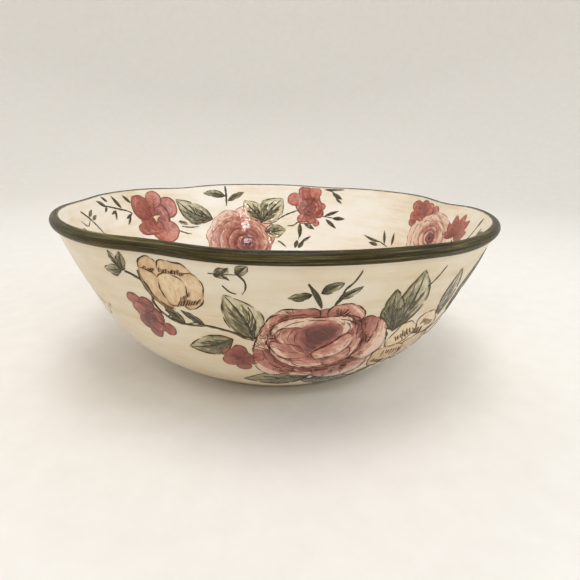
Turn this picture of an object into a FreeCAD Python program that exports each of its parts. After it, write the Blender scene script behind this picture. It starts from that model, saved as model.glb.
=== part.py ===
import FreeCAD, Part
import math
import os

# Porcelain serving bowl with a softly lobed rim.
#
# Three clay members make it: the thrown wall and floor, the rolled bead that caps the lip,
# and the ring foot. They meet face to face along the lip and along the underside.
#
# Frame: +Z up, origin at the centre of the plane that the foot stands on.
# Lengths are in millimetres, angles in degrees.

# Driving dimensions
OVERALL_RADIUS = 150.0
OVERALL_HEIGHT = 107.0
FOOT_RADIUS = 78.0
FOOT_HEIGHT = 4.0
FOOT_WIDTH = 8.0
FLOOR_THICKNESS = 6.0
FLOOR_FLAT_RADIUS = 40.0
LIP_THICKNESS = 3.3
BEAD_WIDTH = 5.4
BEAD_HEIGHT = 6.4
BEAD_PROUD = 2.1

# The six soft notches between the lobes are pressed in by hand, so no two are alike.
# Each has its angle seen from above, anticlockwise from +X, how far it goes in, and how far
# it takes the rim down.
NOTCHES = (
    (179.0, 4.0, 0.3),
    (-114.0, 5.8, 0.0),
    (-48.0, 0.8, 1.4),
    (15.0, 5.4, 1.7),
    (70.0, 4.4, 0.7),
    (131.0, 4.6, 1.4),
)
NOTCH_SPREAD = 10.5
NOTCHES_FADE_OUT_AT = 45.0

# Small shape details
FOOT_TAPER = 0.5
FOOT_EDGE_ROUND = 1.2
SEAT_DROP = 1.2
SURFACE_STATIONS = 120

# A periodic cubic curve runs this much inside its control points
STATION_STEP = 360.0 / SURFACE_STATIONS
POLE_GAIN = 3.0 / (2.0 + math.cos(math.radians(STATION_STEP)))

# Section points that two members share, as (radius, height)
LIP_INNER = (OVERALL_RADIUS - BEAD_WIDTH, OVERALL_HEIGHT - 1.0)
LIP_OUTER = (LIP_INNER[0] + LIP_THICKNESS, LIP_INNER[1] - SEAT_DROP)
BEAD_FOOT = (OVERALL_RADIUS - BEAD_PROUD - 0.7, OVERALL_HEIGHT - BEAD_HEIGHT + 0.3)
WALL_FOOT = (FOOT_RADIUS + 1.2, FOOT_HEIGHT)
FLOOR_EDGE = (FLOOR_FLAT_RADIUS, FOOT_HEIGHT + FLOOR_THICKNESS)


def outer_wall_points():
    """The wall's outside, from the ring foot up to the bead."""
    return [WALL_FOOT, (89.5, 8.4), (100.6, 16.5), (113.2, 28.5), (122.9, 42.0), (130.6, 58.5),
            (138.3, 76.0), BEAD_FOOT]


def inner_wall_points():
    """The wall's inside, from the flat of the floor up to the lip."""
    return [FLOOR_EDGE, (64.0, 11.2), (84.0, 15.2), (96.6, 21.8), (108.6, 32.8), (118.0, 46.0),
            (126.0, 62.0), (133.9, 79.5), LIP_INNER]


def bead_points():
    """The bead's glazed outside, over the top from the inner lip to the wall below."""
    top = OVERALL_HEIGHT
    bottom = OVERALL_HEIGHT - BEAD_HEIGHT
    side = OVERALL_RADIUS
    return [LIP_INNER, (side - 4.3, top - 0.1), (side - 2.6, top - 0.2), (side - 0.8, top - 1.5),
            (side - 0.05, top - 3.4), (side - 0.4, bottom + 1.2), (side - 1.5, bottom), BEAD_FOOT]


def notch_at(angle):
    """How far the notches take the rim in and down at an angle."""
    inward = 0.0
    down = 0.0
    for centre, depth, dip in NOTCHES:
        away = (angle - centre + 180.0) % 360.0 - 180.0
        share = math.exp(-((away / NOTCH_SPREAD) ** 2))
        inward += depth * share
        down += dip * share
    return inward, down


def fade_at(height):
    """How much of the notch is left at a height: none low on the wall, all of it at the rim."""
    part = (height - NOTCHES_FADE_OUT_AT) / (OVERALL_HEIGHT - NOTCHES_FADE_OUT_AT)
    part = min(max(part, 0.0), 1.0)
    return part * part * (3.0 - 2.0 * part)


def control_point(radius, height, angle):
    """One control point of a lobed surface."""
    inward, down = notch_at(angle)
    fade = fade_at(height)
    reach = radius * POLE_GAIN - inward * fade
    turn = math.radians(angle)
    return FreeCAD.Vector(reach * math.cos(turn), reach * math.sin(turn), height - down * fade)


def lobed_face(points):
    """The surface that a section curve through the points sweeps round the lobed plan."""
    section = Part.BSplineCurve()
    section.interpolate([FreeCAD.Vector(radius, 0.0, height) for radius, height in points])
    poles = []
    for station in range(SURFACE_STATIONS):
        angle = station * STATION_STEP
        poles.append([control_point(pole.x, pole.z, angle) for pole in section.getPoles()])
    around = list(range(SURFACE_STATIONS + 1))
    surface = Part.BSplineSurface()
    surface.buildFromPolesMultsKnots(poles, [1] * len(around), section.getMultiplicities(),
                                     around, section.getKnots(), True, False, 3, section.Degree)
    return surface.toShape()


def disc_inside(face, height):
    """The flat disc that closes a lobed surface along its edge at a height."""
    for edge in face.Edges:
        box = edge.BoundBox
        if edge.isClosed() and abs(box.ZMin - height) < 0.01 and abs(box.ZMax - height) < 0.01:
            return Part.Face(Part.Wire([edge]))
    raise ValueError("no closed edge at height %.2f" % height)


def closed_solid(faces):
    """One solid from faces that meet edge to edge."""
    skin = Part.makeCompound(faces)
    skin.sewShape(0.001)
    solid = Part.Solid(Part.Shell(skin.Faces))
    if solid.Volume < 0.0:
        solid.reverse()
    if not solid.isValid():
        solid.fix(0.001, 0.001, 0.01)
    return solid


def lip_seat_faces():
    """The sloping top of the lip and the outside of the lip, where the bead sits on the wall."""
    return [lobed_face([LIP_INNER, LIP_OUTER]), lobed_face([LIP_OUTER, BEAD_FOOT])]


def bowl_body():
    """The thrown wall and floor."""
    outside = lobed_face(outer_wall_points())
    inside = lobed_face(inner_wall_points())
    underside = disc_inside(outside, WALL_FOOT[1])
    floor = disc_inside(inside, FLOOR_EDGE[1])
    return closed_solid([outside, inside, underside, floor] + lip_seat_faces())


def rim_bead():
    """The rolled bead that caps the lip and hangs down outside it."""
    return closed_solid([lobed_face(bead_points())] + lip_seat_faces())


def foot_ring():
    """The ring foot, with both standing edges rounded."""
    outer = FOOT_RADIUS
    inner = FOOT_RADIUS - FOOT_WIDTH
    top = FOOT_HEIGHT
    section = Part.makePolygon([
        FreeCAD.Vector(inner, 0.0, 0.0),
        FreeCAD.Vector(outer, 0.0, 0.0),
        FreeCAD.Vector(outer + FOOT_TAPER, 0.0, top),
        FreeCAD.Vector(inner - FOOT_TAPER, 0.0, top),
        FreeCAD.Vector(inner, 0.0, 0.0),
    ])
    ring = Part.Face(section).revolve(FreeCAD.Vector(0, 0, 0), FreeCAD.Vector(0, 0, 1), 360.0)
    standing_edges = [edge for edge in ring.Edges
                      if edge.BoundBox.ZMax < 0.001 and edge.BoundBox.XLength > inner]
    return ring.makeFillet(FOOT_EDGE_ROUND, standing_edges)


def main():
    os.makedirs("parts", exist_ok=True)
    members = {"bowl_body": bowl_body(), "rim_bead": rim_bead(), "foot_ring": foot_ring()}
    for name, shape in members.items():
        shape.exportStep("parts/" + name + ".step")
        box = shape.BoundBox
        print("%-10s valid %s, %.1f cm3, x %.2f to %.2f, y %.2f to %.2f, z %.2f to %.2f" % (
            name, shape.isValid(), shape.Volume / 1000.0, box.XMin, box.XMax, box.YMin, box.YMax,
            box.ZMin, box.ZMax))


main()
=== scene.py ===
import bisect
import bpy
import math
import random
from mathutils import Euler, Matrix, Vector
from mathutils.bvhtree import BVHTree


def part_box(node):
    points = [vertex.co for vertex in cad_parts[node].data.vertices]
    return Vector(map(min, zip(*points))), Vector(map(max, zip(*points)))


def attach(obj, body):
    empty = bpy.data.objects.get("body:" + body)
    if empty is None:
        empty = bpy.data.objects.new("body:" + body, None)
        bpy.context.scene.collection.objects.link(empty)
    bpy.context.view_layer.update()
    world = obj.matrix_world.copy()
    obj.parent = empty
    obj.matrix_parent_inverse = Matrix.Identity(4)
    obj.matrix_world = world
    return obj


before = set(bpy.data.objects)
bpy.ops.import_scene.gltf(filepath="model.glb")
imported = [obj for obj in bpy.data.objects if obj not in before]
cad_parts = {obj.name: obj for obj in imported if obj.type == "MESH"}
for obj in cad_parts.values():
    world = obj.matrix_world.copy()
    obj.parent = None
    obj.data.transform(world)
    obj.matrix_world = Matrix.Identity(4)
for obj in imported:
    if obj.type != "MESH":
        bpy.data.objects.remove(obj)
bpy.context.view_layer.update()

# The bowl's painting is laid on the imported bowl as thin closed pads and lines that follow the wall.
# They are drawn in millimetres and placed by an angle round the bowl and a distance along the wall.

MILLIMETRE = 0.001
# The radii, in millimetres, that turn a motif's width into an angle round the bowl.
OUTSIDE_RADIUS = 130
INSIDE_RADIUS = 125
# In metres: where each wall starts above the body's lowest point, how far below the lip the
# outside ends, the step that finds the lip, and a distance from the middle past the bowl.
INSIDE_START = 0.0072
OUTSIDE_START = 0.0002
BELOW_LIP = 0.005
LIP_STEP = 0.00015
OUTSIDE_ALL = 0.3
WALL_STEPS = 260
# In millimetres: how deep pads and lines reach into the wall, how much lower a pad's edge is than
# its top, the spacing of a line's points, and the grain's shift from one stroke to the next.
PAD_SUNK = 0.25
LINE_SUNK = 0.2
EDGE_DROP = 0.05
PATH_STEP = 0.8
STROKES_APART = 37
# How much higher each layer of the big rose's petals lies than the one below.
LAYER_STEP = 0.035
random.seed(7)


# ---- where the wall is

def outward(angle):
    """The level direction away from the bowl's middle, at an angle in degrees."""
    turn = math.radians(angle)
    return Vector((math.cos(turn), math.sin(turn), 0))


class Wall:
    """One side of the bowl's wall, addressed by an angle in degrees and a distance in
    millimetres: up from the foot on the outside, down from the lip on the inside."""

    def __init__(self, tree, inside, reference_angle):
        self.tree = tree
        self.inside = inside
        self.degrees_per_mm = math.degrees(1 / (INSIDE_RADIUS if inside else OUTSIDE_RADIUS))
        body_low, body_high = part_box("bowl_body")
        self.lips = [self.find_lip(angle, body_high.z) for angle in range(361)]
        self.reference_lip = self.lips[reference_angle % 360]
        low = body_low.z + (INSIDE_START if inside else OUTSIDE_START)
        high = self.reference_lip - (0 if inside else BELOW_LIP)
        self.heights = [low + (high - low) * step / WALL_STEPS for step in range(WALL_STEPS + 1)]
        if inside:
            self.heights.reverse()
        self.distances = [0]
        previous = self.hit(reference_angle, self.heights[0])[0]
        for height in self.heights[1:]:
            place = self.hit(reference_angle, height)[0]
            self.distances.append(self.distances[-1] + (place - previous).length / MILLIMETRE)
            previous = place

    def find_lip(self, angle, height):
        """The height of the waved lip at an angle."""
        while self.tree.ray_cast(Vector((0, 0, height)), outward(angle))[0] is None:
            height -= LIP_STEP
        return height - 2 * LIP_STEP

    def hit(self, angle, height):
        """Where the wall is at an angle, at a height that follows the lip's dips."""
        whole = math.floor(angle)
        share = angle - whole
        lip = self.lips[whole % 360] * (1 - share) + self.lips[(whole + 1) % 360] * share
        start = Vector((0, 0, height * lip / self.reference_lip))
        away = outward(angle)
        if self.inside:
            return self.tree.ray_cast(start, away)[:2]
        return self.tree.ray_cast(start + away * OUTSIDE_ALL, -away)[:2]

    def point(self, angle, distance, lift):
        """The point that stands lift millimetres off the wall."""
        distance = min(max(distance, 0), self.distances[-1])
        index, share = between(self.distances, distance)
        height = self.heights[index - 1] * (1 - share) + self.heights[index] * share
        place, normal = self.hit(angle, height)
        return place + normal * (lift * MILLIMETRE)


class Spot:
    """Where a motif is painted. It turns the motif's own millimetres, with y up the wall, into
    points on the surface."""

    def __init__(self, surface, across, along=0, turn=0, flip=False):
        self.surface = surface
        self.across = across
        self.along = along
        self.cosine = math.cos(math.radians(turn))
        self.sine = math.sin(math.radians(turn))
        self.mirror = -1 if flip else 1

    def point(self, x, y, lift):
        x = x * self.mirror
        right = (x * self.cosine - y * self.sine) * self.surface.degrees_per_mm
        up = x * self.sine + y * self.cosine
        if self.surface.inside:
            return self.surface.point(self.across - right, self.along - up, lift)
        return self.surface.point(self.across + right, self.along + up, lift)


# ---- brush and pen

def between(values, wanted):
    """The index of the rising value just after the wanted one, and the share of the way there."""
    index = min(max(bisect.bisect_right(values, wanted), 1), len(values) - 1)
    before, after = values[index - 1], values[index]
    return index, (wanted - before) / max(after - before, 1e-9)


def smooth(points, steps, closed):
    """A Catmull-Rom curve through the points."""
    count = len(points)
    curve = []
    for span in range(count if closed else count - 1):
        places = range(span - 1, span + 3)
        if closed:
            p = [points[place % count] for place in places]
        else:
            p = [points[min(max(place, 0), count - 1)] for place in places]
        for step in range(steps):
            t = step / steps
            curve.append(tuple(
                0.5 * (2 * b + (c - a) * t + (2 * a - 5 * b + 4 * c - d) * t * t
                       + (3 * b - a - 3 * c + d) * t ** 3)
                for a, b, c, d in zip(*p)))
    if not closed:
        curve.append(tuple(points[-1]))
    return curve


def stroke_path(points):
    """A smooth open line through the points, evenly spaced."""
    points = smooth(points, 6, False)
    lengths = [0]
    for one, two in zip(points, points[1:]):
        lengths.append(lengths[-1] + math.dist(one, two))
    count = max(3, int(lengths[-1] / PATH_STEP) + 1)
    path = []
    for number in range(count):
        index, share = between(lengths, lengths[-1] * number / (count - 1))
        one, two = points[index - 1], points[index]
        path.append((one[0] + (two[0] - one[0]) * share, one[1] + (two[1] - one[1]) * share))
    return path


def within(x, y, outline):
    """True if a point is inside a closed outline."""
    found = False
    before = outline[-1]
    for after in outline:
        if (before[1] > y) != (after[1] > y):
            if x < before[0] + (y - before[1]) / (after[1] - before[1]) * (after[0] - before[0]):
                found = not found
        before = after
    return found


def ruffled(outline, depth, waves):
    """A closed outline with shallow waves along it, like the edge of a petal."""
    edge = smooth(outline, 4, True)
    count = len(edge)
    middle_x = sum(x for x, _ in edge) / count
    middle_y = sum(y for _, y in edge) / count
    phase = random.uniform(0, 6)
    result = []
    for index, (x, y) in enumerate(edge):
        turn = phase + 2 * math.pi * waves * index / count
        away = 1 + depth * (math.sin(turn) + 0.6 * math.sin(2.3 * turn))
        result.append((middle_x + (x - middle_x) * away, middle_y + (y - middle_y) * away))
    return result


class Brush:
    """Gathers painted pads and lines into one object. Each point carries how dark the wash is
    there, and its place along and across the brush stroke."""

    def __init__(self, name, slot):
        self.name = name
        self.slot = slot
        self.points = []
        self.faces = []
        self.shades = []
        self.grains = []
        self.strokes = 0

    def add(self, point, shade, grain):
        self.points.append(point)
        self.shades.append(shade)
        self.grains.append((grain[0] + STROKES_APART * self.strokes, grain[1], 0))
        return len(self.points) - 1

    def pad(self, spot, outline, lift, middle, shade, grain=None, steps=5, rings=5):
        """A closed shape, as a thin pad with a rounded edge that is sunk into the wall."""
        self.strokes += 1
        edge = smooth(outline, steps, True)
        count = len(edge)
        if middle is None:
            middle = (sum(p[0] for p in edge) / count, sum(p[1] for p in edge) / count)
        grain = grain or (lambda x, y: (x, y))

        def ring(t, height):
            row = []
            for x, y in edge:
                x = middle[0] + (x - middle[0]) * t
                y = middle[1] + (y - middle[1]) * t
                row.append(self.add(spot.point(x, y, height), shade(x, y, t), grain(x, y)))
            return row

        top, bottom = (self.add(spot.point(*middle, height), shade(*middle, 0), grain(*middle))
                       for height in (lift, -PAD_SUNK))
        rows = [ring(step / rings, lift) for step in range(1, rings)]
        rows += [ring(1, lift - EDGE_DROP), ring(1, -PAD_SUNK), ring(0.5, -PAD_SUNK)]
        for index in range(count):
            after = (index + 1) % count
            self.faces.append((top, rows[0][index], rows[0][after]))
            self.faces.append((bottom, rows[-1][after], rows[-1][index]))
            for inner, outer in zip(rows, rows[1:]):
                self.faces.append((inner[index], outer[index], outer[after], inner[after]))

    def line(self, spot, points, width, lift, shade, ends=(0.35, 0.25)):
        """A pen or brush line that swells in the middle and thins at both ends."""
        self.strokes += 1
        path = stroke_path(points)
        last = len(path) - 1
        wobble = random.uniform(0, 6)
        rows = []
        for index, (x, y) in enumerate(path):
            before, after = path[max(index - 1, 0)], path[min(index + 1, last)]
            dx, dy = after[0] - before[0], after[1] - before[1]
            length = math.hypot(dx, dy) or 1
            t = index / last
            swell = ends[0] + (1 - ends[0]) * min(t / 0.3, 1)
            swell *= ends[1] + (1 - ends[1]) * min((1 - t) / 0.35, 1)
            half = 0.5 * width * swell * (1 + 0.22 * math.sin(wobble + index * 0.9))
            nx, ny = -dy / length * half, dx / length * half
            rows.append([
                self.add(spot.point(x + side * nx, y + side * ny, height), shade,
                         (side * half, index * PATH_STEP))
                for side, height in ((1, lift * 0.6), (0, lift), (-1, lift * 0.6), (0, -LINE_SUNK))])
        for one, two in zip(rows, rows[1:]):
            for side in range(4):
                other = (side + 1) % 4
                self.faces.append((one[side], one[other], two[other], two[side]))
        self.faces.append(tuple(reversed(rows[0])))
        self.faces.append(tuple(rows[-1]))

    def sketch(self, spot, points, width, lift, shade, dash=11, gap=0.9, covers=()):
        """A line drawn in several pen strokes that don't quite meet. It stops where it would
        pass under one of the outlines in covers."""
        path = stroke_path(points)
        seen = [not any(within(x, y, cover) for cover in covers) for x, y in path]
        start = 0
        while start < len(path) - 2:
            reach = start + max(3, int(dash * random.uniform(0.6, 1.4) / PATH_STEP))
            stop = start
            while stop < len(path) and stop <= reach and seen[stop]:
                stop += 1
            if stop - start >= 4:
                shift = random.uniform(-0.15, 0.15)
                piece = [(x + shift, y - shift) for x, y in path[start:stop:2]]
                self.line(spot, piece, width * random.uniform(0.75, 1.2), lift, shade)
            start = stop + max(1, int(gap / PATH_STEP))

    def finish(self):
        """Makes the object, and ties it to the bowl."""
        mesh = bpy.data.meshes.new(self.name)
        mesh.from_pydata(self.points, [], self.faces)
        mesh.validate()
        shade = mesh.attributes.new("shade", "FLOAT", "POINT")
        shade.data.foreach_set("value", self.shades)
        grain = mesh.attributes.new("grain", "FLOAT_VECTOR", "POINT")
        grain.data.foreach_set("vector", [value for row in self.grains for value in row])
        mesh.shade_smooth()
        mesh.materials.append(PAINTS[self.slot])
        piece = bpy.data.objects.new(self.name, mesh)
        bpy.context.collection.objects.link(piece)
        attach(piece, "root")


def brush_and_pen(name, slot):
    """A brush for a motif's washes, and a pen for its lines."""
    return Brush(name, slot), Brush(name + "_ink", "ink_line")


# ---- materials

def srgb(*screen):
    """A linear colour from screen values of 0 to 255."""
    def linear(value):
        value = value / 255
        return value / 12.92 if value <= 0.04045 else ((value + 0.055) / 1.055) ** 2.4
    return (*map(linear, screen), 1)


class Shader:
    """A material's nodes. Inputs are values or other nodes' outputs, by name or number."""

    def __init__(self, name, roughness, coat, specular=0.5, coat_roughness=0.06):
        self.material = bpy.data.materials.new(name)
        self.material.use_nodes = True
        self.tree = self.material.node_tree
        self.put({"Roughness": roughness, "Specular IOR Level": specular, "Coat Weight": coat,
                  "Coat Roughness": coat_roughness, "Coat IOR": 1.5})

    def feed(self, node, inputs):
        for key, value in inputs.items():
            if isinstance(value, bpy.types.NodeSocket):
                self.tree.links.new(value, node.inputs[key])
            else:
                node.inputs[key].default_value = value

    def put(self, inputs):
        """Fills inputs of the surface shader itself."""
        self.feed(self.tree.nodes["Principled BSDF"], inputs)

    def node(self, kind, inputs, **settings):
        """Adds a node and gives back its outputs."""
        node = self.tree.nodes.new(kind)
        for key, value in settings.items():
            setattr(node, key, value)
        self.feed(node, inputs)
        return node.outputs

    def position(self):
        return self.node("ShaderNodeTexCoord", {})["Object"]

    def facing(self):
        return self.node("ShaderNodeNewGeometry", {})["Normal"]

    def axes(self, vector):
        return self.node("ShaderNodeSeparateXYZ", {"Vector": vector})

    def math(self, operation, *values):
        return self.node("ShaderNodeMath", dict(enumerate(values)), operation=operation)[0]

    def plus(self, one, two):
        return self.math("ADD", one, two)

    def times(self, one, two):
        return self.math("MULTIPLY", one, two)

    def vectors(self, operation, *values):
        return self.node("ShaderNodeVectorMath", dict(enumerate(values)), operation=operation)

    def noise(self, vector, scale, detail=3, roughness=0.55, stretch=(1, 1, 1)):
        mapping = self.node("ShaderNodeMapping", {"Vector": vector, "Scale": stretch})
        return self.node("ShaderNodeTexNoise", {
            "Vector": mapping["Vector"], "Scale": scale, "Detail": detail, "Roughness": roughness})["Fac"]

    def ramp(self, value, *stops):
        """Each stop is its place and a screen colour, or a linear colour with alpha."""
        colour = self.node("ShaderNodeValToRGB", {"Fac": value})["Color"]
        elements = colour.node.color_ramp.elements
        while len(elements) < len(stops):
            elements.new(0.5)
        for element, (place, *tint) in zip(elements, stops):
            element.position = place
            element.color = tint if len(tint) == 4 else srgb(*tint)
        return colour

    def mix(self, share, one, two, blend="MIX"):
        return self.node("ShaderNodeMix", {"Factor": share, "A": one, "B": two},
                         data_type="RGBA", blend_type=blend)["Result"]

    def spread(self, value, low, high, start=0, stop=1):
        """Takes the range start to stop of a value to the range low to high."""
        return self.node("ShaderNodeMapRange", {
            "Value": value, "From Min": start, "From Max": stop, "To Min": low, "To Max": high})["Result"]

    def bump(self, height, strength, distance):
        normal = self.node("ShaderNodeBump", {
            "Height": height, "Strength": strength, "Distance": distance})["Normal"]
        self.put({"Normal": normal, "Coat Normal": normal})


def ivory_glaze():
    """Ivory glaze with warm tan clouding, level brush streaks and a few iron specks. Painted shade
    darkens and warms the surfaces that face down, mostly the outside wall.
    """
    shader = Shader("ivory_glaze", 0.4, 0.4, 0.2, 0.26)
    place = shader.position()
    cloud = shader.noise(place, 11, 4, 0.6, (1, 1, 1.8))
    streak = shader.noise(place, 26, 5, 0.6, (1, 1, 9))
    colour = shader.ramp(shader.plus(shader.times(cloud, 0.68), shader.times(streak, 0.32)),
                         (0.36, 224, 204, 174), (0.45, 236, 224, 203),
                         (0.54, 243, 236, 223), (0.66, 247, 243, 236))
    speck = shader.noise(place, 420, 2, 0.5)
    specks = shader.ramp(speck, (0.735, 0, 0, 0, 1), (0.77, 0.45, 0.45, 0.45, 1))
    colour = shader.mix(specks, colour, srgb(170, 140, 96))
    # Painted shade: surfaces that face down, mostly the outside wall, are multiplied darker and warmer.
    outer = shader.spread(shader.axes(shader.facing())["Z"], 0, 1, 0.2, -0.5)
    colour = shader.mix(outer, colour, srgb(233, 226, 209), "MULTIPLY")
    shader.put({"Base Color": colour, "Roughness": shader.spread(streak, 0.32, 0.5)})
    ripple = shader.noise(place, 55, 2, 0.5, (1, 1, 1.6))
    shader.bump(shader.plus(ripple, shader.times(streak, 0.5)), 0.12, 0.002)
    return shader.material


def olive_rim_glaze():
    """Olive glaze brushed along the rim, thin and pale over its crest, with ivory glaze where
    the bead turns down inside."""
    shader = Shader("olive_rim_glaze", 0.5, 0.25, 0.05)
    place = shader.position()
    facing = shader.facing()
    axes = shader.axes(place)
    follow = shader.node("ShaderNodeCombineXYZ", {
        "X": shader.times(axes["X"], 22),
        "Y": shader.times(axes["Y"], 22),
        "Z": shader.times(shader.axes(facing)["Z"], 3)})["Vector"]
    streak = shader.node("ShaderNodeTexNoise", {
        "Vector": follow, "W": shader.times(axes["Z"], 900),
        "Scale": 1, "Detail": 5, "Roughness": 0.65}, noise_dimensions="4D")["Fac"]
    green = shader.ramp(streak, (0.34, 28, 23, 8), (0.45, 46, 39, 17), (0.55, 70, 62, 31),
                        (0.68, 122, 112, 70))
    level = shader.vectors("MULTIPLY", place, (1, 1, 0))["Vector"]
    away = shader.vectors("NORMALIZE", level)["Vector"]
    inner = shader.spread(shader.vectors("DOT_PRODUCT", away, facing)["Value"], 0, 1, -0.62, -0.8)
    shader.put({"Base Color": shader.mix(inner, green, srgb(236, 226, 202)),
                "Roughness": shader.spread(streak, 0.35, 0.6)})
    pit = shader.noise(place, 300, 3, 0.6)
    shader.bump(shader.plus(streak, shader.times(pit, 1.2)), 0.4, 0.0007)
    return shader.material


def foot_glaze():
    """Ivory glaze that thins to bare, slightly sandy clay on the standing edge."""
    shader = Shader("foot_glaze", 0.45, 0.25)
    place = shader.position()
    bare = shader.spread(shader.axes(place)["Z"], 0, 1, 0.0022, 0.0008)
    sand = shader.noise(place, 900, 3, 0.6)
    glaze = shader.ramp(shader.noise(place, 40), (0.35, 206, 184, 146), (0.65, 233, 220, 192))
    clay = shader.ramp(sand, (0.3, 150, 128, 96), (0.7, 196, 176, 142))
    shader.put({"Base Color": shader.mix(bare, glaze, clay),
                "Roughness": shader.spread(sand, 0.35, 0.65)})
    shader.bump(sand, 0.25, 0.0004)
    return shader.material


PAINTS = {}


def wash(name, streaks, pooling, *stops, relief=0.4, coat=0.8):
    """A brushed underglaze colour. The painted shade is broken up by streaks along the stroke
    and by pools where the wash dried, and the glaze over it has small bumps."""
    shader = Shader(name, 0.3, coat, 0.08)
    place = shader.position()
    grain = shader.node("ShaderNodeAttribute", {}, attribute_name="grain")["Vector"]
    level = shader.node("ShaderNodeAttribute", {}, attribute_name="shade")["Fac"]
    streak = shader.noise(grain, 1, 4, 0.6, (1.5, 0.16, 1))
    pool = shader.noise(place, 260, 4, 0.6)
    for pattern, strength in ((streak, streaks), (pool, pooling)):
        level = shader.plus(level, shader.times(shader.math("SUBTRACT", pattern, 0.5), strength))
    shader.put({"Base Color": shader.ramp(level, *stops), "Roughness": shader.spread(pool, 0.2, 0.38)})
    ripple = shader.noise(place, 85, 3, 0.45)
    shader.bump(shader.plus(shader.times(streak, 0.08), ripple), relief, 0.0014)
    PAINTS[name] = shader.material


wash("rose_paint", 1.05, 0.6, (0, 230, 198, 178), (0.07, 214, 170, 148), (0.17, 196, 141, 122),
     (0.34, 174, 111, 96), (0.6, 143, 80, 69), (0.9, 96, 48, 42))
wash("blossom_paint", 0.85, 0.9, (0, 207, 138, 119), (0.2, 174, 101, 85), (0.48, 140, 72, 61),
     (0.85, 92, 43, 37))
wash("pale_flower_paint", 0.7, 1, (0.02, 232, 209, 173), (0.3, 214, 183, 142), (0.6, 190, 153, 110),
     (0.95, 142, 102, 69))
wash("leaf_paint", 0.9, 1, (0, 208, 196, 164), (0.2, 164, 154, 118), (0.44, 118, 110, 76),
     (0.7, 78, 71, 45), (0.96, 50, 44, 26))
wash("ink_line", 0.6, 0.9, (0.1, 140, 96, 62), (0.5, 90, 58, 34), (0.9, 46, 28, 15),
     relief=0.2, coat=0.3)


# ---- motifs

def pairs(values):
    """The points in a flat row of x and y."""
    return list(zip(values[::2], values[1::2]))


# The big rose, in millimetres from its heart: each petal's layer, how dark its wash is and its
# outline, with the petals furthest back first.
ROSE_PETALS = (
    (0, 0.2, -26.5, 7, -21, 16, -13.5, 17.2, -5, 17.2, -1.5, 14, -6, 7, -18, 4),
    (0, 0.16, 1, 13, 4, 18.6, 10.5, 19.4, 16.5, 17, 20.5, 10, 17, 3, 6, 6),
    (1, 0.14, -32, -12, -31.5, -4, -28.5, 4, -24.5, 11.5, -18, 13.5, -14, 4, -19, -9),
    (1, 0.14, -31, -9, -33.5, -16, -33, -26, -28, -35, -20, -36.5, -12, -32, -16, -20),
    (0, 0.1, -18, -29, -15, -37.5, -6, -40, 1, -39, 4, -33, -2, -25, -11, -24),
    (1, 0.2, 1, -31, 0, -38, 8, -45, 18, -47, 27, -45.5, 33, -38, 34, -24, 20, -19, 8, -24),
    (2, 0.08, 20, 8, 27, 9, 34.5, 3, 38.5, -5, 40.5, -14, 37, -22, 29, -25.5, 19, -21, 15, -6),
    (3, 0.28, 10, 10, 17, 9.5, 21, 3, 23.5, -8, 21, -19, 14, -26, 5, -28, 1, -22, 10, -10),
    (3, 0.2, -26, -4, -25, -12, -20.5, -20, -14, -26, -4, -28.8, 7, -28, 6, -18, -8, -12, -18, -4),
    (4, 0.16, -24, -1, -23, 5, -18.5, 10, -11, 12, -2, 11.8, 7, 11.6, 14, 10, 17, 5, 13, -2, 0, -4, -14,
     -6),
    (6, 0.24, -22, 1, -17, 5, -10, 4.5, -6, -3, -5, -9, -9, -10.5, -15, -8.8, -21, -5),
    (7, 0.14, -24.5, -5, -19, -6.2, -13, -7.5, -8, -9.5, -4.5, -15, -5, -19, -13, -19, -19.5, -16.5, -24,
     -11),
    (7, 0.06, -13, -19, -5, -17.5, 2, -18.5, 5, -23, 4, -26.5, -4, -27, -11, -24.5),
    (8, 0.06, -3, -14.5, 2.5, -10.5, 8.5, -6, 14, -1, 17.8, -4, 17, -11, 11.5, -16.5, 5, -19, -1, -18.8),
    (7, 0.14, 4.5, -19.5, 11, -17, 17, -12, 19, -17, 14, -23.5, 6, -26))
ROSE_HEART = pairs((
    -9.8, -1, -9.2, 3.2, -5.6, 5.8, 0, 6.4, 5, 6, 8.6, 3.6, 9, -0.5, 6.6, -4, 3, -6.8, -0.6, -9.8,
    -4.6, -13.6, -6.4, -10.4, -8.6, -6))
# Curves that the pen draws round the heart.
ROSE_CURVES = (
    (-26, -5, -25, 3, -20, 8.6, -12, 11.6, -3, 12.2), (-20, -2, -19.4, 3, -14.6, 7.6, -7, 9.8, 1, 9.4),
    (-16, -4.6, -15.4, 0, -12.6, 4, -9.4, 6.4), (-12.6, -5, -12.6, -1, -11, 2.4),
    (8, 9.8, 14, 7.6, 17.4, 3, 17, -3), (11.6, 7, 14.4, 3.6, 14, -0.6),
    (-24, -8, -17, -12.4, -10, -13, -6, -11), (21, 8, 23.4, 1, 24.6, -8, 22.6, -17, 16, -25),
    (29, 6, 30, -2, 28, -12), (-29, -12, -24, -24, -14, -30, -2, -32.5, 10, -31.5))
# Broad dark brush strokes in the folds between petals: width, shade and points.
ROSE_FOLDS = (
    (2.6, 0.6, -21, 9.5, -13, 12.6, -3, 12.6),
    (3.2, 0.7, -26, -13, -20.5, -21.5, -10, -28, 4, -30, 17, -26.5),
    (2, 0.6, -23, -13, -15, -19.5, -5, -20.2), (2.8, 0.7, 15, 8.6, 19.5, 4, 19.4, -3),
    (3.2, 0.62, 24, -3, 25.6, -11, 22, -19), (2.4, 0.55, 26.5, -25.5, 18, -27.5, 7, -30.5),
    (2.4, 0.5, 13, -31, 19, -35, 22, -41), (2, 0.45, 6, -33, 9, -38, 10, -43),
    (1.8, 0.6, -20, 1, -21.5, -3, -19, -6), (1.8, 0.66, -9, -10.8, -6.4, -14, -5.6, -18),
    (1.6, 0.6, -1, -19.4, 6, -19.8, 12, -17.4), (1.8, 0.45, -19, -31, -14.5, -34, -13, -38))
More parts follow.
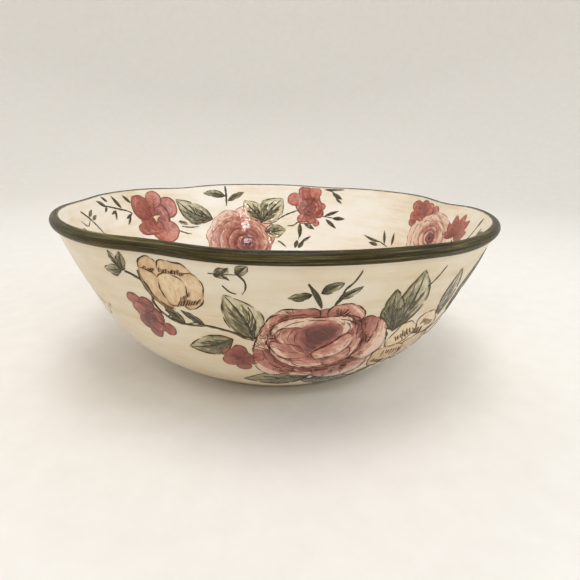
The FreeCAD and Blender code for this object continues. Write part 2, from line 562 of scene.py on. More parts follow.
# Fans of short pen strokes: foot of the fan, heading and spread in degrees, strokes, length.
ROSE_HATCHING = (
    (-24.5, -4, 110, 90, 8, 4.2), (-27.5, -11, 100, 110, 8, 4.5), (3.6, -25, 92, 70, 10, 6.5),
    (6.5, 9.5, 60, 80, 10, 5), (11, 3, 130, 80, 8, 3.8), (16, 3, 70, 120, 9, 4.6),
    (21, -9, 45, 110, 10, 5.2), (22, -18, -60, 120, 10, 5), (14, -30, -50, 130, 10, 6),
    (-14, 12, 140, 90, 6, 3.6), (-21, 3, 170, 90, 6, 3.6), (-22, -33, 60, 80, 5, 4.2),
    (-16, 1, 150, 70, 6, 3))
# The petals of the two pale flowers, in the same form.
PEONY_PETALS = (
    (0, 0.34, -16, 8, -14, 13, -9.5, 14.8, -5, 12, -3, 8, -7, 3, -13, 2),
    (0, 0.26, -5.5, 8, -5, 12.5, -2, 14, 3, 13.4, 8, 13, 12, 9.5, 9, 5, 1, 4),
    (1, 0.16, 6, 6, 11, 9, 16, 5.5, 16.5, 0, 15, -7, 10.5, -12, 5, -12, 5, -4),
    (1, 0.26, -16.5, 7, -15.5, 1, -13, -6, -8, -12, -2, -13.5, -3, -5, -7, 4, -12, 7.5),
    (2, 0.1, -6.5, 4, -4.5, 6.5, 0, 7, 5.5, 5, 8, 0.5, 7, -5, 2.5, -11, -3, -12, -6, -6, -7, 0))
DOG_ROSE_PETALS = (
    (0, 0.12, 6, 12, 7, 16, 10, 18.5, 15, 18.5, 20, 18, 26, 12, 30, 8, 30, 3, 20, 0, 9, 4),
    (0, 0.3, 4, -4, 14, 0, 27, -1, 30, -9, 22, -19, 9, -24, 4, -14),
    (1, 0.24, -18, -10, -18.5, -5, -13, -3, -4, -2, 4, -4, 8, -10, 6, -20, -2, -26, -11, -24, -16.5, -18),
    (2, 0.04, -12, -2, -12.5, 3, -9, 10, -5, 14.5, -1, 15.3, 3, 13.5, 7.5, 10, 8, 5, 3, -1, -4, -3))


def polar(angle, radius):
    turn = math.radians(angle)
    return radius * math.cos(turn), radius * math.sin(turn)


def moved(points, by, size=1):
    return [(by[0] + x * size, by[1] + y * size) for x, y in points]


def shaped(rows, depth, waves):
    """Each petal's layer, how dark its wash is, and its outline with a ruffled edge."""
    return [(layer, tone, ruffled(pairs(values), depth, waves)) for layer, tone, *values in rows]


def round_heart(x, y):
    """The grain of a wash brushed in circles round a flower's heart."""
    return 0.42 * math.hypot(x, y), x + y


def rose(name, spot):
    """A full-blown rose: broad ruffled petals laid one over the next round a dark heart."""
    petals, lines = brush_and_pen(name, "rose_paint")
    ground = [(x * 0.72, y * 0.72 - 3) for x, y in
              (polar(angle, 30 + 4 * math.cos(math.radians(angle + 30))) for angle in range(0, 360, 40))]
    petals.pad(spot, ground, 0.1, (0, -3), lambda *_: 0.5, round_heart, 4, 4)
    shapes = shaped(ROSE_PETALS, 0.022, 5)
    for number, (layer, tone, outline) in enumerate(shapes):
        covers = [after[2] for k, after in enumerate(shapes) if (after[0], k) > (layer, number)]
        lift = 0.14 + LAYER_STEP * layer
        middle = tuple(sum(p[k] for p in outline) / len(outline) for k in (0, 1))
        reach = math.hypot(*middle)

        def shade(x, y, t):
            near = min(max(reach - math.hypot(x, y), -8), 9)
            return tone + 0.14 + 0.045 * near + 0.12 * t ** 8

        petals.pad(spot, outline, lift, middle, shade, round_heart, 2, 6)
        lines.sketch(spot, outline + [outline[0]], 0.8, lift + 0.1, 0.62, 10, 1.3, covers + [ROSE_HEART])
    heart_lift = 0.12 + LAYER_STEP * 8
    halo = [(x * 1.2, y * 1.16) for x, y in ROSE_HEART]
    petals.pad(spot, halo, heart_lift, (0, -1), lambda x, y, t: 1 - 0.72 * t ** 3, round_heart, 4, 8)
    petals.pad(spot, ROSE_HEART, heart_lift + 0.03, (0, -1),
               lambda x, y, t: 1 - 0.34 * t ** 3, round_heart, 4, 6)
    top = 0.12 + LAYER_STEP * 9
    for values in ROSE_CURVES:
        lines.sketch(spot, pairs(values), 0.5, top + 0.08, 0.55, 10)
    for width, tone, *values in ROSE_FOLDS:
        petals.line(spot, pairs(values), width, top, tone, (0.3, 0.2))
    for row in ROSE_HATCHING:
        fan(lines, spot, top + 0.06, *row)
    for radius, first, last in ((4.2, 20, 150), (4.6, 190, 300), (7.4, -30, 70), (2.2, -60, 120)):
        curl = [polar(first + (last - first) * step / 3, radius) for step in range(4)]
        petals.line(spot, curl, 1, heart_lift + 0.1, 0.74)
    petals.finish()
    lines.finish()


def round_rose(name, spot, radius, lean, wash_tone):
    """A rose seen from above: rings of petals round a dark heart, each ring smaller than the
    last and lighter along its outer edge. lean moves the outer rings off the heart."""
    petals, lines = brush_and_pen(name, "rose_paint")
    ground = [polar(40 * step, 0.6 * radius) for step in range(9)]
    petals.pad(spot, moved(ground, lean), 0.1, lean, lambda *_: 0.6, round_heart, 3, 3)
    petals.pad(spot, moved(ground, (0, 0), 0.7), 0.11, (0, 0), lambda *_: 0.7, round_heart, 3, 3)
    petals_in_rings = (5, 4, 4, 3, 3)
    shapes = []
    for ring, count in enumerate(petals_in_rings):
        outer = radius * (1 - ring / len(petals_in_rings)) ** 0.8
        inner = outer * 0.5
        aside = (lean[0] * outer / radius, lean[1] * outer / radius)
        for number in range(count):
            first = 360 * number / count + 53 * ring + random.uniform(-12, 12)
            span = 360 / count * random.uniform(1.2, 1.55)
            swell = random.uniform(0.84, 1.06)
            edge = [polar(first + span * step / 6,
                          outer * swell * random.uniform(0.95, 1.03) * (0.86 if step in (0, 6) else 1))
                    for step in range(7)]
            base = [polar(first + span * share, inner) for share in (0.9, 0.5, 0.1)]
            middle = moved([polar(first + span / 2, 0.8 * outer)], aside)[0]
            shapes.append((ring, inner, outer, aside, middle, moved(edge, aside), moved(base, aside)))
    for number, (ring, inner, outer, aside, middle, edge, base) in enumerate(shapes):
        tone = wash_tone + random.uniform(-0.12, 0.16) - (0.08 if ring < 2 else 0)
        lift = 0.12 + 0.05 * ring
        covers = [after[5] + after[6] for after in shapes[number + 1:]]

        def shade(x, y, t):
            out = (math.hypot(x - aside[0], y - aside[1]) - inner) / (outer - inner)
            return tone + 0.72 * max(0, 1 - out) ** 1.3

        petals.pad(spot, edge + base, lift, middle, shade, round_heart, 4, 6)
        lines.sketch(spot, edge, 0.5, lift + 0.08, 0.35, 9, 1.6, covers)
        fold = [(0.55 * aside[0] + 0.45 * x, 0.55 * aside[1] + 0.45 * y) for x, y in edge[1:5]]
        petals.line(spot, fold, 1.6, lift + 0.03, tone + 0.66)
    heart = [polar(40 * step, (0.2 + 0.03 * (step % 2)) * radius) for step in range(9)]
    petals.pad(spot, heart, 0.46, (0, 0), lambda x, y, t: 1 - 0.35 * t, round_heart, 3, 4)
    for first, reach in ((20, 0.1), (150, 0.13), (260, 0.09)):
        petals.line(spot, [polar(first + 40 * step, reach * radius) for step in range(4)], 1.2, 0.6, 0.4)
    petals.finish()
    lines.finish()


def fan(lines, spot, lift, x, y, heading, spread, count, length):
    """Short pen strokes that spread out from the foot of a petal."""
    for number in range(count):
        angle = heading + spread * (number / (count - 1) - 0.5) + random.uniform(-4, 4)
        start = length * random.uniform(0.5, 0.8)
        stop = start + length * random.uniform(0.5, 1)
        points = [polar(angle, start), polar(angle + 3, (start + stop) / 2), polar(angle + 5, stop)]
        lines.line(spot, moved(points, (x, y)), random.uniform(0.22, 0.38), lift, 0.45, (0.8, 0.15))


def blossoms(name, spot, lobes, stamens=(), wash_tone=0.16):
    """A cluster of red petals that run into one another, darkest where they meet. Each lobe is
    its centre and half width, and its half height where it isn't round."""
    petals, lines = brush_and_pen(name, "blossom_paint")
    count = len(lobes)
    middle_x = sum(lobe[0] for lobe in lobes) / count
    middle_y = sum(lobe[1] for lobe in lobes) / count
    reach = max(math.hypot(x - middle_x, y - middle_y) + half for x, y, half, *_ in lobes)
    for number, (x, y, half_width, *tall) in enumerate([(middle_x, middle_y, 0.5 * reach), *lobes]):
        half_height = tall[0] if tall else half_width

        def at(angle, share):
            px, py = polar(angle, share)
            return x + px * half_width, y + py * half_height

        outline = [at(40 * step, 1 + 0.07 * math.sin(number * 1.7 + 1.4 * step)) for step in range(9)]
        outline = ruffled(outline, 0.03, 4)
        tone = wash_tone + 0.08 * (number % 3)
        lift = 0.12 + 0.025 * (number % 4)

        def shade(px, py, t):
            inward = 1 - math.hypot(px - middle_x, py - middle_y) / reach
            return tone + 0.5 * inward + 0.1 * t ** 8

        def spokes(px, py):
            return math.degrees(math.atan2(py - y, px - x)) * 0.2, math.hypot(px - x, py - y)

        petals.pad(spot, outline, lift, (x, y), shade, spokes, 1, 6)
        facing = math.degrees(math.atan2(y - middle_y, x - middle_x))
        arc = [at(facing + angle, 0.98) for angle in (-95, -50, 0, 50, 95)]
        petals.line(spot, arc, 0.55, lift + 0.06, 0.72)
        glow = [at(facing + angle, 0.62) for angle in (-50, -15, 20, 50)]
        petals.line(spot, glow, 0.3 * half_width, lift + 0.03, tone)
        fold = [(x, y), (x + 0.8 * (middle_x - x), y + 0.8 * (middle_y - y))]
        petals.line(spot, fold, 0.8, lift + 0.05, 0.95)
    for centre in stamens:
        for step in range(6):
            lines.line(spot, moved([(0, 0), polar(60 * step + 20, 2.6)], centre), 0.35, 0.34, 0.8)
    petals.finish()
    if stamens:
        lines.finish()


def leaf_shape(bx, by, tx, ty, width, bend, belly=0.45):
    """A leaf's outline, and the point a share of the way along it and to either side. bend
    pushes the midrib sideways, and belly says how far along the leaf is widest."""
    dx, dy = tx - bx, ty - by
    length = math.hypot(dx, dy)
    ux, uy = dx / length, dy / length
    power = math.log(0.5) / math.log(belly)

    def at(t, side):
        half = 0.5 * width * math.sin(math.pi * t ** power) ** 0.85 if 0 < t < 1 else 0
        across = bend * math.sin(math.pi * t) + half * side
        return bx + dx * t - uy * across, by + dy * t + ux * across

    steps = (0.12, 0.28, 0.45, 0.62, 0.8)
    outline = [at(0, 0)] + [at(t, 1) for t in steps] + [at(1, 0)] + [at(t, -1) for t in reversed(steps)]
    return outline, at


def leaf(paint, lines, spot, bx, by, tx, ty, width, tone, veins, bend=0):
    """A leaf: a thin wash that is darker on one side, dark brush strokes for the midrib and its
    side veins, and a pen outline set a little off the wash."""
    outline, at = leaf_shape(bx, by, tx, ty, width, bend)
    dx, dy = tx - bx, ty - by
    length = math.hypot(dx, dy)

    def sides(x, y):
        return ((y - by) * dx - (x - bx) * dy) / length, ((x - bx) * dx + (y - by) * dy) / length

    def shade(x, y, t):
        across, along = sides(x, y)
        half = across / (0.5 * width) - bend / width
        return tone - 0.1 + 0.2 * half + 0.3 * (0.5 - along / length) + 0.12 * t ** 6

    paint.pad(spot, outline, 0.13, at(0.5, 0), shade, sides, 4, 5)
    shadow = [at(t, side) for t, side in
              ((0.03, 0), (0.16, 0.6), (0.36, 0.72), (0.56, 0.5), (0.74, 0.12), (0.5, -0.05), (0.25, -0.1))]
    paint.pad(spot, shadow, 0.17, at(0.32, 0.3),
              lambda x, y, t: shade(x, y, t) + 0.26 - 0.1 * t, sides, 3, 3)
    rib = [at(t, 0) for t in (0, 0.25, 0.5, 0.75, 0.95)]
    paint.line(spot, rib, min(0.8 + 0.05 * width, 2), 0.24, 0.9, (0.9, 0.15))
    for number in range(veins):
        t = 0.03 + 0.5 * number / veins
        for side in (1, -1):
            reach = random.uniform(0.24, 0.4)
            stroke = [at(t, 0.06 * side), at(t + 0.4 * reach, 0.34 * side), at(t + reach, 0.66 * side)]
            dark = random.uniform(0.5, 0.8)
            paint.line(spot, stroke, width * random.uniform(0.05, 0.12), 0.22, dark, (0.9, 0.1))
    for side in (1.07, -1.07):
        edge = [at(t, side) for t in (0, 0.15, 0.35, 0.55, 0.78, 1)]
        lines.sketch(spot, edge, 0.72 if width > 6 else 0.42, 0.22, 0.6, 0.5 * length)


def slim_leaf(paint, spot, bx, by, tx, ty, width, tone=0.6, bend=0):
    """A small leaf made with one or two loaded brush strokes."""
    outline, at = leaf_shape(bx, by, tx, ty, width, bend)
    paint.pad(spot, outline, 0.14, at(0.5, 0), lambda x, y, t: tone + 0.2 * t ** 3, None, 3, 3)
    stroke = [at(t, 0.1) for t in (0, 0.3, 0.6, 0.95)]
    paint.line(spot, stroke, 0.32 * width, 0.22, min(0.9, tone + 0.3))


def vine(name, spot, stems, broad_leaves=(), slim_leaves=()):
    """Stems with leaves. A stem's row is its width and its points. A leaf's row is its base, its
    tip and its width, then its tone, then its veins if it is broad, and last its bend."""
    leaves, lines = brush_and_pen(name, "leaf_paint")
    for width, *values in stems:
        points = pairs(values)
        leaves.line(spot, points, width, 0.26, 0.8, (0.7, 0.4))
        lines.sketch(spot, [(x + 0.35 * width, y + 0.4 * width) for x, y in points], 0.38, 0.24, 0.6)
    for row in broad_leaves:
        leaf(leaves, lines, spot, *row)
    for row in slim_leaves:
        slim_leaf(leaves, spot, *row)
    leaves.finish()
    if stems or broad_leaves:
        lines.finish()


def pale_flower(name, spot, rows, ticks=()):
    """A pale flower in flat wash, drawn mostly by its pen outline and its stamens. Each petal's
    row is its layer, tone and outline, and each tick is a pen stroke's points and width."""
    petals, lines = brush_and_pen(name, "pale_flower_paint")
    shapes = shaped(rows, 0.025, 6)
    for number, (layer, tone, outline) in enumerate(shapes):
        lift = 0.12 + 0.04 * layer

        def shade(x, y, t):
            return tone + 0.3 * max(0, (2 - y) / 22) + 0.22 * t ** 6

        petals.pad(spot, outline, lift, None, shade, None, 2, 6)
        covers = [after[2] for after in shapes[number + 1:]]
        lines.sketch(spot, outline + [outline[0]], 0.75, lift + 0.1, 0.6, 9, 1.2, covers)
    for points, width in ticks:
        lines.line(spot, points, width, 0.36, 0.75, (0.9, 0.2))
        petals.line(spot, [(x + 0.6, y) for x, y in points], 1.8 * width, 0.3, 0.8)
    petals.finish()
    lines.finish()


def strokes(rows):
    """Rows of parallel pen strokes. Each row is its two ends, how many strokes it has, their
    direction in degrees, their length and their width."""
    ticks = []
    for x0, y0, x1, y1, count, lean, length, width in rows:
        for number in range(count):
            share = number / (count - 1)
            x = x0 + (x1 - x0) * share + random.uniform(-0.3, 0.3)
            y = y0 + (y1 - y0) * share + random.uniform(-0.3, 0.3)
            reach = length * random.uniform(0.7, 1.2)
            end = moved([polar(lean + random.uniform(-8, 8), reach)], (x, y))[0]
            ticks.append(([(x, y), ((x + end[0]) / 2 + 0.15, (y + end[1]) / 2), end], width))
    return ticks


def peony(name, spot):
    """A pale flower seen from the side: a crown of petals behind one broad cupped petal."""
    ticks = strokes((
        (-5, 6.8, 7, 7.2, 11, 80, 2.4, 0.6), (-14, 7.6, -9, 7, 5, 60, 2, 0.5),
        (0, -12.5, 11, -9, 12, 62, 5, 0.6), (4, -6, 9, -2, 5, 250, 3.5, 0.4)))
    ticks.append((pairs((-17, 6, -16.5, 0, -14, -7, -8.6, -13, -2, -14.4)), 0.9))
    pale_flower(name, spot, PEONY_PETALS, ticks)


def dog_rose(name, spot):
    """A pale open flower that turns to one side, with dark stamens."""
    pale_flower(name, spot, DOG_ROSE_PETALS, strokes((
        (-5, 1, 4, 5, 7, 118, 6, 0.7), (1, 0, 7, 6, 5, 128, 4, 0.5), (12, 14, 24, 9, 6, 250, 4, 0.4),
        (-15, -16, -4, -22, 7, 60, 4, 0.4), (8, 3, 16, 2, 6, 100, 5, 0.4),
        (-10, -6, 6, -8, 8, 285, 5, 0.4))))


for name, glaze in (("bowl_body", ivory_glaze), ("rim_bead", olive_rim_glaze), ("foot_ring", foot_glaze)):
    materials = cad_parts[name].data.materials
    materials.clear()
    materials.append(glaze())

body_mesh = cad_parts["bowl_body"].data
bowl_tree = BVHTree.FromPolygons([v.co for v in body_mesh.vertices],
                                 [p.vertices for p in body_mesh.polygons])
outside = Wall(bowl_tree, False, -80)
inside = Wall(bowl_tree, True, 40)


def outer_spray(name, start):
    """The painting that the photograph shows on the outside. It starts at an angle in degrees,
    and its stems are drawn in millimetres right of that angle and above the foot."""
    field = Spot(outside, start)

    def at(x, y):
        return Spot(outside, start + x * outside.degrees_per_mm, y)

    vine(name + "_vine_under_rose", field, (), (
        (90, 41, 46, 33, 23, 0.5, 5, 2), (92, 36, 130, 20, 18, 0.5, 4, -2), (84, 37, 104, 16, 8, 0.6, 3),
        (136, 40, 118, 16, 8, 0.3, 3, 1)))
    rose(name + "_rose", at(89.5, 80))
    vine(name + "_vine_left", field, (
        (1.5, -4.5, 109.5, 2, 106.5, 6, 102.5, 7, 97, 6.5, 92, 9, 87, 12, 84.5),
        (1.4, 11.5, 84.5, 18, 81.5, 27, 81.5, 34, 82.5, 41, 81.5, 47.5, 79.5, 52, 76.5, 57, 74.8),
        (0.7, 24, 82, 30, 84, 33, 82), (0.7, 12, 84, 14.5, 86, 12, 88.5)), (
        (-6, 109.5, -4, 120.5, 5.2, 0.5, 2), (-7.5, 112.5, -10.5, 120.5, 3.4, 0.4, 1),
        (-6, 110.5, -17, 109, 6.2, 0.35, 2, 0.8), (22, 81.5, 12, 91.5, 5.6, 0.6, 3),
        (33, 83, 21.5, 90.5, 4, 0.7, 2), (46.5, 75, 20, 64.8, 13, 0.4, 4, 2)))
    vine(name + "_upright_leaf", field, (
        (0.5, 55.5, 98, 58, 90, 57.6, 80, 56.5, 75.5),), (
        (57, 76, 45.5, 104.5, 17, 0.22, 5, -1.5),))
    vine(name + "_sprig_top", field, (
        (0.6, 40, 115.5, 46, 115.8, 52, 116), (0.7, 51.8, 116.5, 54.8, 113, 55.3, 109, 53.6, 105.2),
        (0.6, 45.5, 109.5, 48, 106.5, 51, 105.2)), (
        (42.5, 114.5, 49, 118, 5.6, 0.3, 2), (52, 115.8, 56.5, 120.8, 5, 0.3, 2, 0.4)), (
        (44, 116.8, 49, 112.6, 1.8, 0.8), (46, 117.2, 49, 119.2, 1.6, 0.8)))
    vine(name + "_sprig_over_rose", field, (
        (1.1, 87.5, 97.5, 86.6, 101.5, 84.5, 105, 80.4, 112),
        (1, 93.5, 99.8, 96, 104, 96.5, 108, 100, 112.5, 102.2, 118.5),
        (0.8, 95, 102.5, 98.5, 106, 104, 108.5)), (
        (82.5, 106, 72.4, 103.8, 4.6, 0.55, 2, 0.4), (86.5, 106.5, 95.5, 112.2, 5.2, 0.45, 2, 0.4),
        (94.5, 103, 104.5, 109.5, 3.8, 0.35, 1, -0.4)), (
        (87.5, 97.5, 80.6, 112, 2.6, 0.7, -0.6), (93.2, 99, 97, 105, 2, 0.85)))
    peony(name + "_peony", at(20, 105))
    blossoms(name + "_blossoms_left", at(2.1, 82), (
        (-8, 10, 4.4), (-1, 8, 4.7), (-6.5, 4, 4.6), (2.5, 1, 4.8), (-5.5, -5, 4.8), (1, -6, 4.6),
        (8.5, -7, 4.2), (-1.5, -11, 4.2)))
    blossoms(name + "_blossoms_low", at(47.6, 59.5), (
        (-4.5, 4.5, 4.4), (1.4, 7.2, 4.2), (-5, -2, 4.4), (0.5, 0.5, 4.8), (2, -6, 4.6), (7, -0.5, 3.8),
        (10.5, 2.5, 3.6)))
    vine(name + "_leaves_right", field, (
        (1, 141.5, 104, 145.5, 108, 149.5, 115.5), (0.8, 127.5, 75, 129.5, 72, 128, 68)), (
        (130.5, 76, 122, 105.5, 12.5, 0.5, 4, 1), (132, 74.5, 135, 115, 19.5, 0.34, 6, -2.6),
        (129.5, 79.5, 118.5, 93, 6, 0.5, 2, 0.5), (174, 75, 167, 111, 13, 0.34, 4, 1),
        (187, 74, 197, 116, 13, 0.44, 4, 1.5)))
    dog_rose(name + "_pale_flower", at(144.2, 64))
    blossoms(name + "_blossoms_right", at(212, 94), (
        (-8, 4, 5), (-2, 8, 4.6), (4, 3, 5), (0, -3, 5), (9, -3, 4.6)))
    vine(name + "_vine_right", field, (
        (1.1, 166, 62, 180, 66, 196, 72, 212, 70), (1, 168, 60, 186, 54, 204, 48)), (
        (190, 70, 206, 80, 8.5, 0.4, 3), (200, 71, 221, 66, 9, 0.36, 3), (186, 54.5, 204, 60, 6.5, 0.4, 2),
        (200, 48.5, 216, 40, 7.5, 0.4, 3)))


def small_spray(name, surface, angle, distance, turn, flip=False):
    """A twig of five leaves that fills the room between two sprays."""
    vine(name, Spot(surface, angle, distance, turn, flip), (
        (0.9, -16, -4, -6, 0, 4, 2, 15, 1),), (
        (-6, 0.5, -1, 9, 4.6, 0.45, 2), (-3, 0.5, 3, -8, 4.6, 0.5, 2), (6, 2, 15, 9, 5, 0.4, 2),
        (15, 1, 26, -2, 5.4, 0.45, 2)), (
        (-16, -4, -24, -2, 2.6),))


def side_posy(name, angle, distance, turn):
    """A few red blossoms between leaves, on the outside."""
    spot = Spot(outside, angle, distance, turn)
    vine(name + "_leaves", spot, (
        (1, 0, 0, 12, 4, 24, 3, 36, 8), (1, 0, 0, -12, -3, -26, 2)), (
        (7, 4, 22, 15, 8, 0.36, 4), (8, -3, 24, -9, 8, 0.42, 4), (-7, 5, -22, 12, 7.5, 0.34, 3),
        (-10, -4, -25, -12, 7.5, 0.42, 3), (34, 7.5, 46, 12, 4.6, 0.45, 2)), (
        (24, 3, 33, -2, 3), (-24, 1.5, -34, 5, 3.4)))
    blossoms(name + "_blossoms", spot, (
        (-5, 4, 5), (2, 7, 4.8), (7, 1, 4.8), (1, -5, 5), (-7, -3, 4.6)))


def faint_twig(name, surface, angle, distance):
    """Three small leaves, brushed on with almost no colour."""
    vine(name, Spot(surface, angle, distance), (), (), (
        (0, 0, -9, 3, 3.4, 0), (1, -2, 10, 3, 3.4, 0.05), (2, -5, -5, -9, 3, -0.05)))


outer_spray("front", -120)
outer_spray("back", 74)
faint_twig("front_twig_far_left", outside, -139.5, 77)
faint_twig("front_twig_round_left", outside, -158, 62)
small_spray("side_twig_left", outside, -176, 92, -10, True)
small_spray("side_twig_right", outside, 4, 90, 15)
side_posy("side_posy_left", -168, 52, -15)
side_posy("side_posy_right", 31, 60, 20)

# The painting that the photograph shows on the far side of the inside.
left = Spot(inside, 172)
vine("inner_twig_left", left, (
    (1.2, 9, -8, 18, -10.9, 26.4, -14, 31, -15.5, 35.5, -18.6),
    (0.8, 35.5, -18.6, 32, -20, 29, -22.5)), (), (
    (10, -8.7, -1, -2, 3.6), (13.6, -5, 7.5, 0, 2.6), (26.5, -12.5, 20, -1, 3.6), (38, -9.5, 32, -2, 3),
    (10.5, -9, 5, -12.6, 2.6), (19.5, -13.6, 12.4, -15.6, 2.4), (19, -13.6, 15.5, -21, 2.4),
    (35, -19, 27, -22, 2.4), (33, -21, 26.5, -27.5, 2.2)))
blossoms("inner_red_flower", Spot(inside, 145.3, 25.9), (
    (0, 2, 13), (-11.5, 10.5, 9.6, 12), (2.4, 17, 7.6, 7.8), (12.8, 8.4, 9.4, 11), (-11.5, -8, 10.6, 6.4),
    (5, -12.5, 14.6, 11.6), (-4, -8, 10, 7)), (), -0.06)
pale_flower("inner_red_flower_eye", Spot(inside, 145.3, 25.9), (
    (4, 0.02, -3, 1, 0, 2.4, 4, 1.6, 1, -0.6, -1, -3.6),))
vine("inner_leaf_left", left, (
    (1, 81, -36.5, 90, -38.2, 98.5, -38.5), (1, 77.5, -40.5, 84, -43.5, 89.5, -44.8)), (
    (114, -33, 81, -9.5, 19, 0.28, 5, 4), (79, -31, 88, -35, 3.6, 0.3, 1)))
middle = Spot(inside, 125)
vine("inner_hanging_twig", middle, (
    (1.8, 27.7, -0.5, 28, -9, 27, -20.5),), (
    (27, -10.5, 6.4, -6, 6.4, 0.45, 2, -1), (29, -15.5, 45, -7, 5.2, 0.5, 2, 0.6)))
vine("inner_leaves_middle", middle, (
    (1.3, 76, -35.5, 84.5, -30, 96.5, -24.5), (1.1, 86, -41.8, 92, -41, 98, -36.5, 108, -36.4),
    (1.3, 76.5, -58.2, 80, -60, 85.5, -64.5), (1, 98, -37.5, 99, -46, 98, -56)), (
    (60, -36, 44, -15.5, 17, 0.18, 5), (59, -39, 80.5, -13, 23, 0.12, 6, 1),
    (63, -48, 84.5, -46, 14, 0.3, 4, -1)), (
    (98.2, -38.5, 99.5, -53.5, 4.6), (97, -56.5, 95, -65, 4.6), (98.5, -64.5, 104, -57, 4.6),
    (101, -58.5, 111, -51, 3), (102.5, -38, 113.5, -43.5, 4.6)))
round_rose("inner_rose_middle", Spot(inside, 104.5, 61), 38, (-9, 1), 0.06)
blossoms("inner_blossoms_middle", Spot(inside, 77.1, 18.2), (
    (-12, 4.5, 7.4), (-2.7, 12, 7), (6.4, 13, 6), (4.5, 4.5, 7.4), (-5.5, -2, 6), (-4.5, -15.5, 5),
    (4.5, -14.5, 5.5), (11, -8, 5.5), (13.5, -0.7, 4), (10, -18.5, 3.6), (2, -6, 5.6)), ((2, -8),), -0.06)
right = Spot(inside, 78)
vine("inner_twigs_right", right, (
    (0.9, 17, -29, 22, -29.5, 29, -30.5), (0.8, 17, -1, 24, -3, 27, -5)), (), (
    (17, -1, 35, -0.6, 2.6), (24.5, -4.5, 34, -10.5, 4), (28, -9.5, 34.5, -15, 2.4),
    (20, -28.5, 33, -22.5, 3.4), (28, -30.6, 40, -30.4, 4.2), (21.5, -32, 33, -41, 3.8)))
vine("inner_twig_far_right", right, (
    (0.9, 81.5, -47, 88, -49, 93, -50.5),), (), (
    (83, -47.5, 63.5, -43.6, 2.6, 0.6, 1), (81.5, -51, 71, -49.8, 3.6), (88.5, -48.5, 83.3, -35.8, 2.8),
    (97, -48, 94.6, -36.2, 2.8)))
round_rose("inner_rose_right", Spot(inside, 14, 30), 25, (-4, -1), -0.2)
blossoms("inner_blossoms_right", Spot(inside, 23.5, 11.1), (
    (-9.4, 3.3, 5.6), (-1, 6, 4.6), (5.6, 3.6, 6), (13.3, 4.2, 4.6), (7.8, -2.2, 5), (-1, -3.3, 5.6),
    (-9.4, -5.5, 5), (-8.9, -11, 4.4)), (), -0.06)
petals = Brush("inner_red_petals", "blossom_paint")
corner = Spot(inside, 2, 25)
for angle, length in ((170, 15), (140, 17), (112, 20), (84, 21), (58, 20), (30, 16), (0, 13), (-70, 12)):
    outline = leaf_shape(*polar(angle, 1), *polar(angle, length), 7.4, 0.4, 0.6)[0]
    petals.pad(corner, outline, 0.13, None, lambda x, y, t: 0.6 - 0.025 * math.hypot(x, y) + 0.14 * t ** 6)
petals.finish()
vine("inner_twig_by_rim", Spot(inside, -11, 18), (
    (1.1, -14, -8, -6, -1, 0, 12), (1, -8, -3, 4, 0, 14, 7)), (), (
    (-2, 8, 2, 16, 2.6), (8, 3, 16, 9, 4.2, 0.4), (6, 1, 9, 10, 3, 0.4), (-12, -6, -3, -10, 3.4, 0.5)))
vine("inner_twig_far_left", Spot(inside, 181, 15), (
    (1.1, -9, 9, -1, 2, 6, -7, 10, -14), (0.8, -1, 2, -8, -2, -14, 3)), (), (
    (-1, 4, 7, 8, 3.4, 0.4), (2, 1, 10, 3, 3.2, 0.45), (8, -12, 14, -16, 4, 0.5), (9, -12, 5, -18, 3.4)))

# The side of the inside nearest the viewer, which the photograph cannot show, repeats the
# flowers of the far side.
peony("inner_peony_left", Spot(inside, -168, 30))
small_spray("inner_twig_front_left", inside, -155, 46, 30)
rose("inner_rose_front", Spot(inside, -88, 52, -70))
blossoms("inner_blossoms_front_left", Spot(inside, -128, 22), (
    (-9.4, 3.3, 5.6), (-1, 6, 5), (5.6, 3.6, 6.4), (12.3, 4.2, 4.8), (7.8, -4.2, 5.2), (-1, -3.3, 5.6),
    (-9.4, -5.5, 5)))
blossoms("inner_blossoms_front_right", Spot(inside, -47, 24), (
    (-9, 4, 6), (0, 7, 6), (8, 2, 6), (2, -5, 6.2), (-7, -6, 5.2)))
field = Spot(inside, -88, 52)
vine("inner_leaves_front", field, (
    (1.1, -52, 22, -44, 14, -36, 6), (1.1, 36, 12, 48, 18, 60, 20)), (
    (-34, 14, -58, 34, 17, 0.36, 5, 2), (22, 24, 40, 44, 16, 0.34, 5), (30, -10, 56, -14, 14, 0.4, 4),
    (-44, -16, -70, -10, 13, 0.4, 4)))


# ---- studio

def add_object(name, data, place, turn):
    thing = bpy.data.objects.new(name, data)
    thing.location = place
    thing.rotation_euler = turn
    bpy.context.collection.objects.link(thing)
    return thing


def set_up_camera():
    """The viewer stands close in front of the bowl and looks down into it."""
    data = bpy.data.cameras.new("camera")
    data.sensor_width = 36
    data.lens = 27.61
    data.dof.use_dof = False
    turn = Euler([math.radians(angle) for angle in (71.33, -1.30, -1.31)])
    bpy.context.scene.camera = add_object("camera", data, (0, -0.3298, 0.1514), turn)


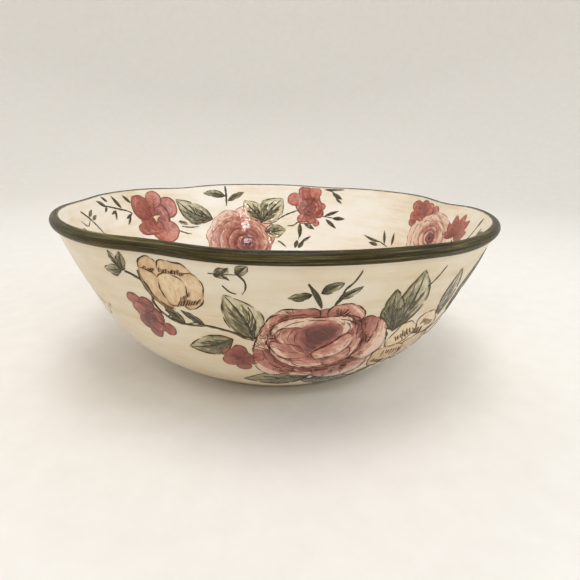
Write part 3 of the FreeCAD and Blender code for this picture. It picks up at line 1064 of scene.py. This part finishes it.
def area_light(name, place, size, power, colour):
    data = bpy.data.lights.new(name, "AREA")
    data.shape = "DISK"
    data.size = size
    data.energy = power
    data.color = colour
    aim = Vector((0, 0, 0.05)) - Vector(place)
    add_object(name, data, place, aim.to_track_quat("-Z", "Y").to_euler())


def set_up_lights():
    warm = (1, 0.98, 0.95)
    area_light("key_overhead", (0, -0.22, 1.25), 0.6, 4.9, warm)
    area_light("back_overhead", (-0.1, 0.95, 0.95), 0.8, 2.5, warm)
    area_light("left_fill", (-1.15, -0.2, 0.85), 0.9, 1.8, (0.97, 0.98, 1))
    area_light("right_fill", (1.1, -0.3, 0.75), 0.8, 3.6, (0.74, 0.87, 1))
    for number, place in enumerate(((0.52, -0.88, 1), (0.1, -1, 1), (-0.66, -1.1, 1))):
        area_light(f"studio_lamp_{number}", place, 0.08, 0.75, warm)
    world = bpy.data.worlds.new("studio")
    world.use_nodes = True
    background = world.node_tree.nodes["Background"]
    background.inputs["Color"].default_value = (1, 0.992, 0.975, 1)
    background.inputs["Strength"].default_value = 0.56
    bpy.context.scene.world = world


def build_floor():
    """A pale tabletop that curves up all round into a plain backdrop."""
    curve = [math.radians(step * 7.5) for step in range(1, 13)]
    section = [(0, 0), (0.5, 0), (1, 0)]
    section += [(1 + 0.7 * math.sin(turn), 0.7 - 0.7 * math.cos(turn)) for turn in curve]
    section.append((1.7, 1.5))
    sides = 64
    turns = [2 * math.pi * step / sides for step in range(sides)]
    points = [(radius * math.cos(turn), radius * math.sin(turn), height)
              for radius, height in section for turn in turns]
    faces = []
    for start in range(0, (len(section) - 1) * sides, sides):
        for step in range(sides):
            after = (step + 1) % sides
            faces.append((start + step, start + sides + step, start + sides + after, start + after))
    mesh = bpy.data.meshes.new("backdrop")
    mesh.from_pydata(points, [], faces)
    mesh.shade_smooth()
    shader = Shader("backdrop", 0.85, 0)
    weave = shader.noise(shader.position(), 60, 5, 0.6)
    shader.put({"Base Color": shader.ramp(weave, (0.3, 238, 234, 228), (0.7, 242, 239, 234))})
    mesh.materials.append(shader.material)
    backdrop = add_object("backdrop", mesh, (0, 0, 0), (0, 0, 0))


set_up_camera()
set_up_lights()
build_floor()
bpy.context.scene.view_settings.view_transform = "Standard"
